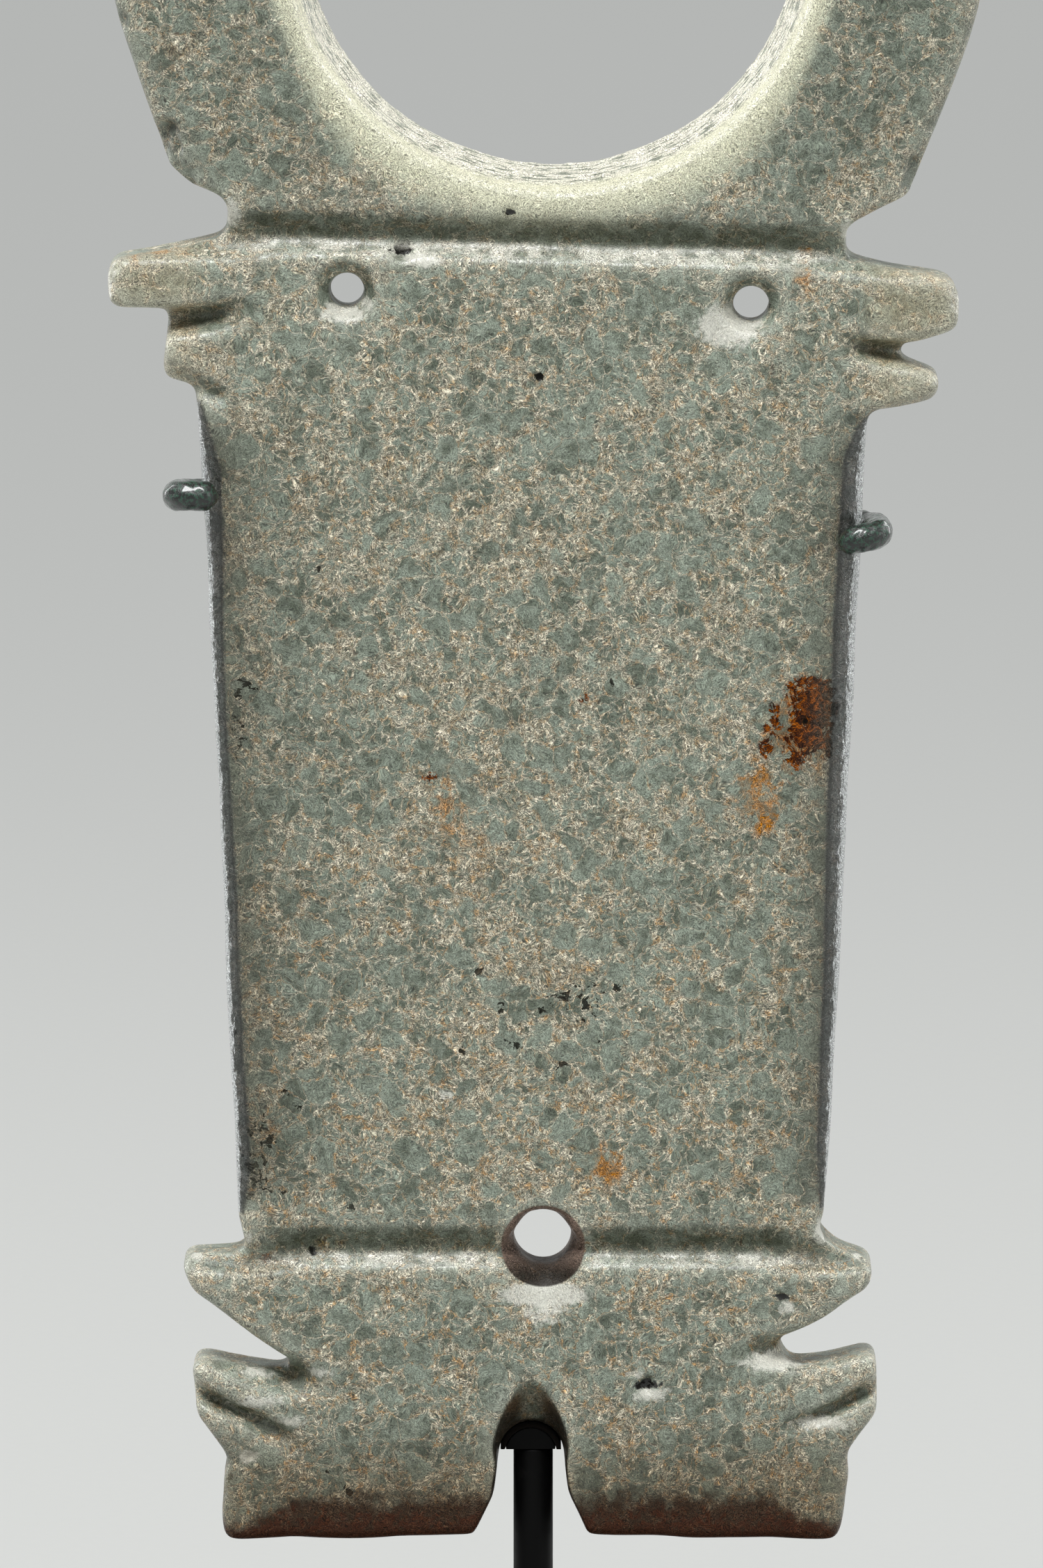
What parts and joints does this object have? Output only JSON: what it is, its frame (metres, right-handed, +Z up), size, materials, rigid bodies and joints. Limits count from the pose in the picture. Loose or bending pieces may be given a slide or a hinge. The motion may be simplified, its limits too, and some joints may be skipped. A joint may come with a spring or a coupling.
{
  "type": "jade pendant on display mount",
  "caption": "Carved jade plaque pendant with a ring head and drilled cord holes, held by wire hooks and a rest on a post in a weighted base.",
  "frame": {"origin": "middle of the base's underside, on the post's axis", "axes": "+Z up along the post, -Y out of the carved face, +X to the right of a viewer who faces the carving"},
  "size_m": [0.09, 0.06, 0.2075],
  "materials": {
    "jade": "mottled grey-green jade, worn satin polish, brown stains",
    "mount_paint": "satin black paint on brazed metal rod",
    "sleeve": "shrunk tubing under uneven glossy black paint",
    "liner": "thin dark brown suede liner",
    "felt": "black wool felt",
    "base_paint": "matt black powder coat on steel",
    "socket_brass": "turned brass, darkened",
    "screw_steel": "black oxide steel"
  },
  "bodies": {
    "base": {"base": "base_paint", "base_socket": "socket_brass", "set_screw": "screw_steel", "base_felt": "felt"},
    "mount": {"post": "mount_paint", "rest_saddle": "mount_paint", "rest_pad": "liner", "left_hook": "mount_paint", "right_hook": "mount_paint", "left_sleeve": "sleeve", "right_sleeve": "sleeve", "back_pads": "felt"},
    "pendant": {"jade_pendant": "jade"}
  },
  "joints": [
    {"name": "mount_turn", "type": "hinge", "parent": "base", "child": "mount", "pos_m": [0, 0, 0.02], "axis": [0, 0, 1], "continuous": true},
    {"name": "pendant_lift", "type": "slide", "parent": "mount", "child": "pendant", "axis": [0, 0, 1], "range_m": [0, 0.054]}
  ]
}
